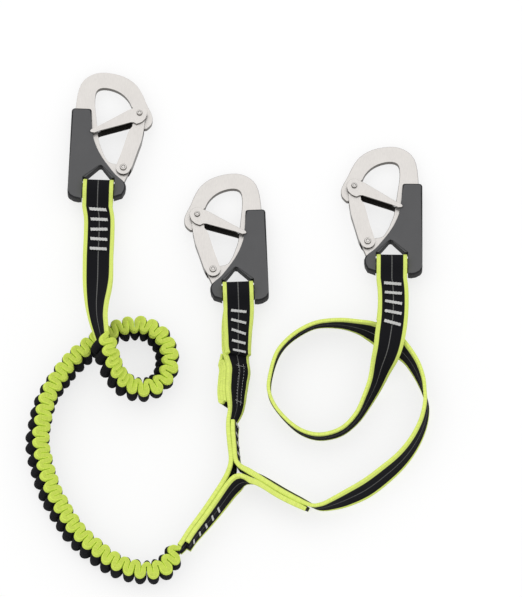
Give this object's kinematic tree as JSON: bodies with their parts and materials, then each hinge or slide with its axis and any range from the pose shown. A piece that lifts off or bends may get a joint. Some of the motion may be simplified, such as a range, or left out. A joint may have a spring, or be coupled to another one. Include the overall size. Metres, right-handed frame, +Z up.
{
  "type": "elastic lanyard",
  "caption": "Three-hook safety lanyard: an elastic leg, a long webbing leg and a short folded leg meet at a stitched junction; each end has a double-action hook.",
  "frame": {"origin": "on the table, under the middle of the box round the three hooks", "axes": "+Z up from the table, +Y from the webbing towards the hooks' closed ends, +X from the first hook to the third"},
  "size_m": [0.3391, 0.4528, 0.0606],
  "materials": {
    "stainless_steel": "satin",
    "spring_steel": "drawn wire",
    "dark_grey_rubber": "matte",
    "black_webbing": "woven, black face with lime edges and a grey centre line",
    "lime_webbing": "woven tube, lime with a black lower band",
    "elastic_band": "matte",
    "light_grey_thread": "dense zigzag stitching"
  },
  "bodies": {
    "line": {"webbing_leg_1": "black_webbing", "webbing_leg_2": "black_webbing", "webbing_leg_3": "black_webbing", "elastic_sleeve": "lime_webbing", "elastic_core": "elastic_band", "junction_strap": "black_webbing", "overload_fold": "black_webbing", "bar_tacks_1": "light_grey_thread", "bar_tacks_2": "light_grey_thread", "bar_tacks_3": "light_grey_thread", "bar_tacks_north": "light_grey_thread", "bar_tacks_west": "light_grey_thread"},
    "hook_1": {"hook_1_plate": "stainless_steel", "hook_1_grip": "dark_grey_rubber", "hook_1_gate_rivet": "stainless_steel"},
    "gate_1": {"hook_1_gate": "stainless_steel", "hook_1_gate_spring": "spring_steel"},
    "lever_1": {"hook_1_lever": "stainless_steel", "hook_1_lever_rivet": "stainless_steel", "hook_1_lever_spring": "spring_steel"},
    "hook_2": {"hook_2_plate": "stainless_steel", "hook_2_grip": "dark_grey_rubber", "hook_2_gate_rivet": "stainless_steel"},
    "gate_2": {"hook_2_gate": "stainless_steel", "hook_2_gate_spring": "spring_steel"},
    "lever_2": {"hook_2_lever": "stainless_steel", "hook_2_lever_rivet": "stainless_steel", "hook_2_lever_spring": "spring_steel"},
    "hook_3": {"hook_3_plate": "stainless_steel", "hook_3_grip": "dark_grey_rubber", "hook_3_gate_rivet": "stainless_steel"},
    "gate_3": {"hook_3_gate": "stainless_steel", "hook_3_gate_spring": "spring_steel"},
    "lever_3": {"hook_3_lever": "stainless_steel", "hook_3_lever_rivet": "stainless_steel", "hook_3_lever_spring": "spring_steel"}
  },
  "joints": [
    {"name": "hook_1_swing", "type": "hinge", "parent": "line", "child": "hook_1", "pos_m": [-0.1246, -0.0042, 0.01428], "axis": [0.9993, -0.0366, 0], "range_deg": [-80, 80]},
    {"name": "gate_1_open", "type": "hinge", "parent": "hook_1", "child": "gate_1", "pos_m": [-0.10336, 0.01557, 0.01259], "axis": [0.003, 0.0819, 0.9966], "range_deg": [0, 28], "stiffness_Nm_per_rad": 0.15, "springref_deg": -17.19},
    {"name": "lever_1_squeeze", "type": "hinge", "parent": "gate_1", "child": "lever_1", "pos_m": [-0.08984, 0.06513, 0.00848], "axis": [0.003, 0.0819, 0.9966], "range_deg": [0, 44.8], "stiffness_Nm_per_rad": 0.05, "springref_deg": -17.19},
    {"name": "hook_2_swing", "type": "hinge", "parent": "line", "child": "hook_2", "pos_m": [-0.0057, -0.0952, 0.01428], "axis": [0.9993, 0.0366, 0], "range_deg": [-80, 80]},
    {"name": "gate_2_open", "type": "hinge", "parent": "hook_2", "child": "gate_2", "pos_m": [-0.02694, -0.07543, 0.01259], "axis": [0.003, -0.0819, -0.9966], "range_deg": [0, 28], "stiffness_Nm_per_rad": 0.15, "springref_deg": -17.19},
    {"name": "lever_2_squeeze", "type": "hinge", "parent": "gate_2", "child": "lever_2", "pos_m": [-0.04046, -0.02586, 0.00848], "axis": [0.003, -0.0819, -0.9966], "range_deg": [0, 44.8], "stiffness_Nm_per_rad": 0.05, "springref_deg": -17.19},
    {"name": "hook_3_swing", "type": "hinge", "parent": "line", "child": "hook_3", "pos_m": [0.1242, -0.0712, 0.01428], "axis": [0.9999, -0.0105, 0], "range_deg": [-80, 80]},
    {"name": "gate_3_open", "type": "hinge", "parent": "hook_3", "child": "gate_3", "pos_m": [0.10392, -0.05046, 0.01259], "axis": [-0.0009, -0.0819, -0.9966], "range_deg": [0, 28], "stiffness_Nm_per_rad": 0.15, "springref_deg": -17.19},
    {"name": "lever_3_squeeze", "type": "hinge", "parent": "gate_3", "child": "lever_3", "pos_m": [0.09274, -0.0003, 0.00848], "axis": [-0.0009, -0.0819, -0.9966], "range_deg": [0, 44.8], "stiffness_Nm_per_rad": 0.05, "springref_deg": -17.19}
  ],
  "couplings": [
    {"joint": "lever_1_squeeze", "follows": "gate_1_open", "ratio": 1.6},
    {"joint": "lever_2_squeeze", "follows": "gate_2_open", "ratio": 1.6},
    {"joint": "lever_3_squeeze", "follows": "gate_3_open", "ratio": 1.6}
  ]
}
